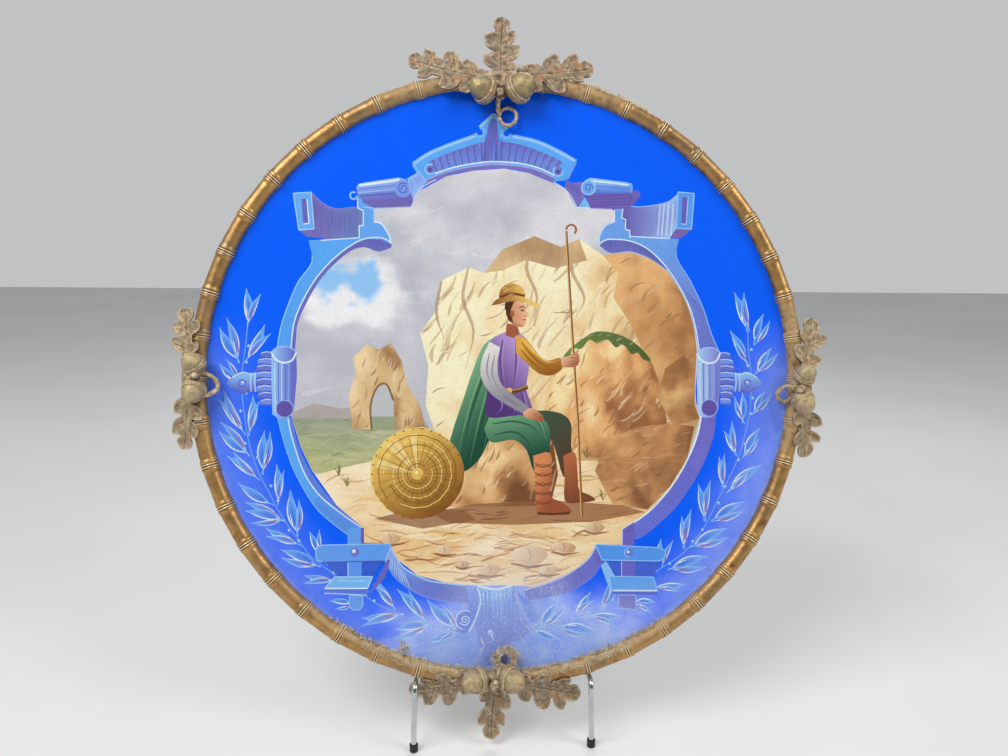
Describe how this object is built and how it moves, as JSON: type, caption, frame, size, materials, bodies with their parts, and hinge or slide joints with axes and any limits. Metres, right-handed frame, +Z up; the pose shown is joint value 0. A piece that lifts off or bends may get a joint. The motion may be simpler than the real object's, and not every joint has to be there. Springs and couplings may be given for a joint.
{
  "type": "painted porcelain charger in a bronze mount on a wire easel",
  "caption": "Round painted porcelain charger in a bamboo-form bronze ring with oak-leaf and acorn mounts, leaning back on a chromed wire easel.",
  "frame": {"origin": "on the floor, under the plate's middle from side to side and the middle of the depth from front to back", "axes": "+Z up, the painted face towards -Y, +X to the right as one looks at the face"},
  "size_m": [0.4895, 0.2256, 0.5363],
  "materials": {
    "porcelain": "gloss",
    "bamboo_bronze": "satin",
    "leaf_bronze": "matte",
    "chrome": "polished",
    "rubber": "matte"
  },
  "bodies": {
    "root": {"plate": "porcelain", "bamboo_ring": "bamboo_bronze", "top_mount": "leaf_bronze", "left_mount": "leaf_bronze", "right_mount": "leaf_bronze", "bottom_mount": "leaf_bronze", "easel_side_wire_left": "chrome", "easel_side_wire_right": "chrome", "easel_crossbar_upper": "chrome", "easel_crossbar_lower": "chrome", "rubber_tip_front_left": "rubber", "rubber_tip_front_right": "rubber", "rubber_tip_rear_left": "rubber", "rubber_tip_rear_right": "rubber"}
  },
  "joints": []
}
